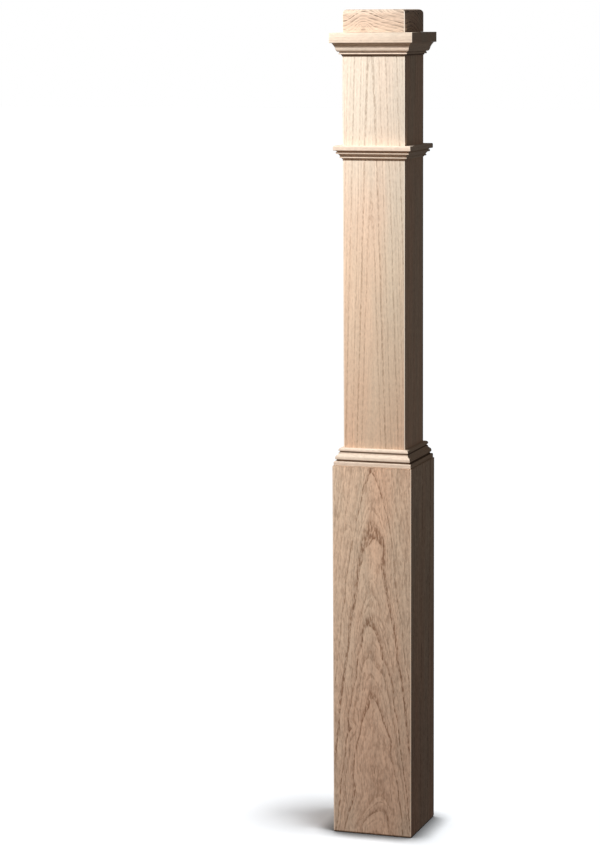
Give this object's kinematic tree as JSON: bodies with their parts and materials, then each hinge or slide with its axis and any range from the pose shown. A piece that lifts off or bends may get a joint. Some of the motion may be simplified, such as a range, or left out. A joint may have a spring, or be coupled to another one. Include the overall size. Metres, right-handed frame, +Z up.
{
  "type": "newel post",
  "caption": "Square hollow box newel post in unfinished oak, with a wide base, a collar moulding and a flat cap with a block on it.",
  "frame": {"origin": "centre of the underside, on the floor", "axes": "+Z up along the post, -Y out of the front face, +X out of the right face"},
  "size_m": [0.1636, 0.1636, 1.5891],
  "materials": {
    "base_oak": "unfinished, sanded",
    "shaft_oak": "unfinished, sanded",
    "moulding_oak": "unfinished, sanded",
    "cap_oak": "unfinished, sanded"
  },
  "bodies": {
    "root": {"shaft_board_front": "shaft_oak", "shaft_board_right": "shaft_oak", "shaft_board_back": "shaft_oak", "shaft_board_left": "shaft_oak", "base_board_front": "base_oak", "base_board_right": "base_oak", "base_board_back": "base_oak", "base_board_left": "base_oak", "base_moulding_front": "moulding_oak", "base_moulding_right": "moulding_oak", "base_moulding_back": "moulding_oak", "base_moulding_left": "moulding_oak", "collar_moulding_front": "moulding_oak", "collar_moulding_right": "moulding_oak", "collar_moulding_back": "moulding_oak", "collar_moulding_left": "moulding_oak", "cap_moulding_front": "moulding_oak", "cap_moulding_right": "moulding_oak", "cap_moulding_back": "moulding_oak", "cap_moulding_left": "moulding_oak", "cap_plate": "cap_oak", "cap_block": "cap_oak"}
  },
  "joints": []
}
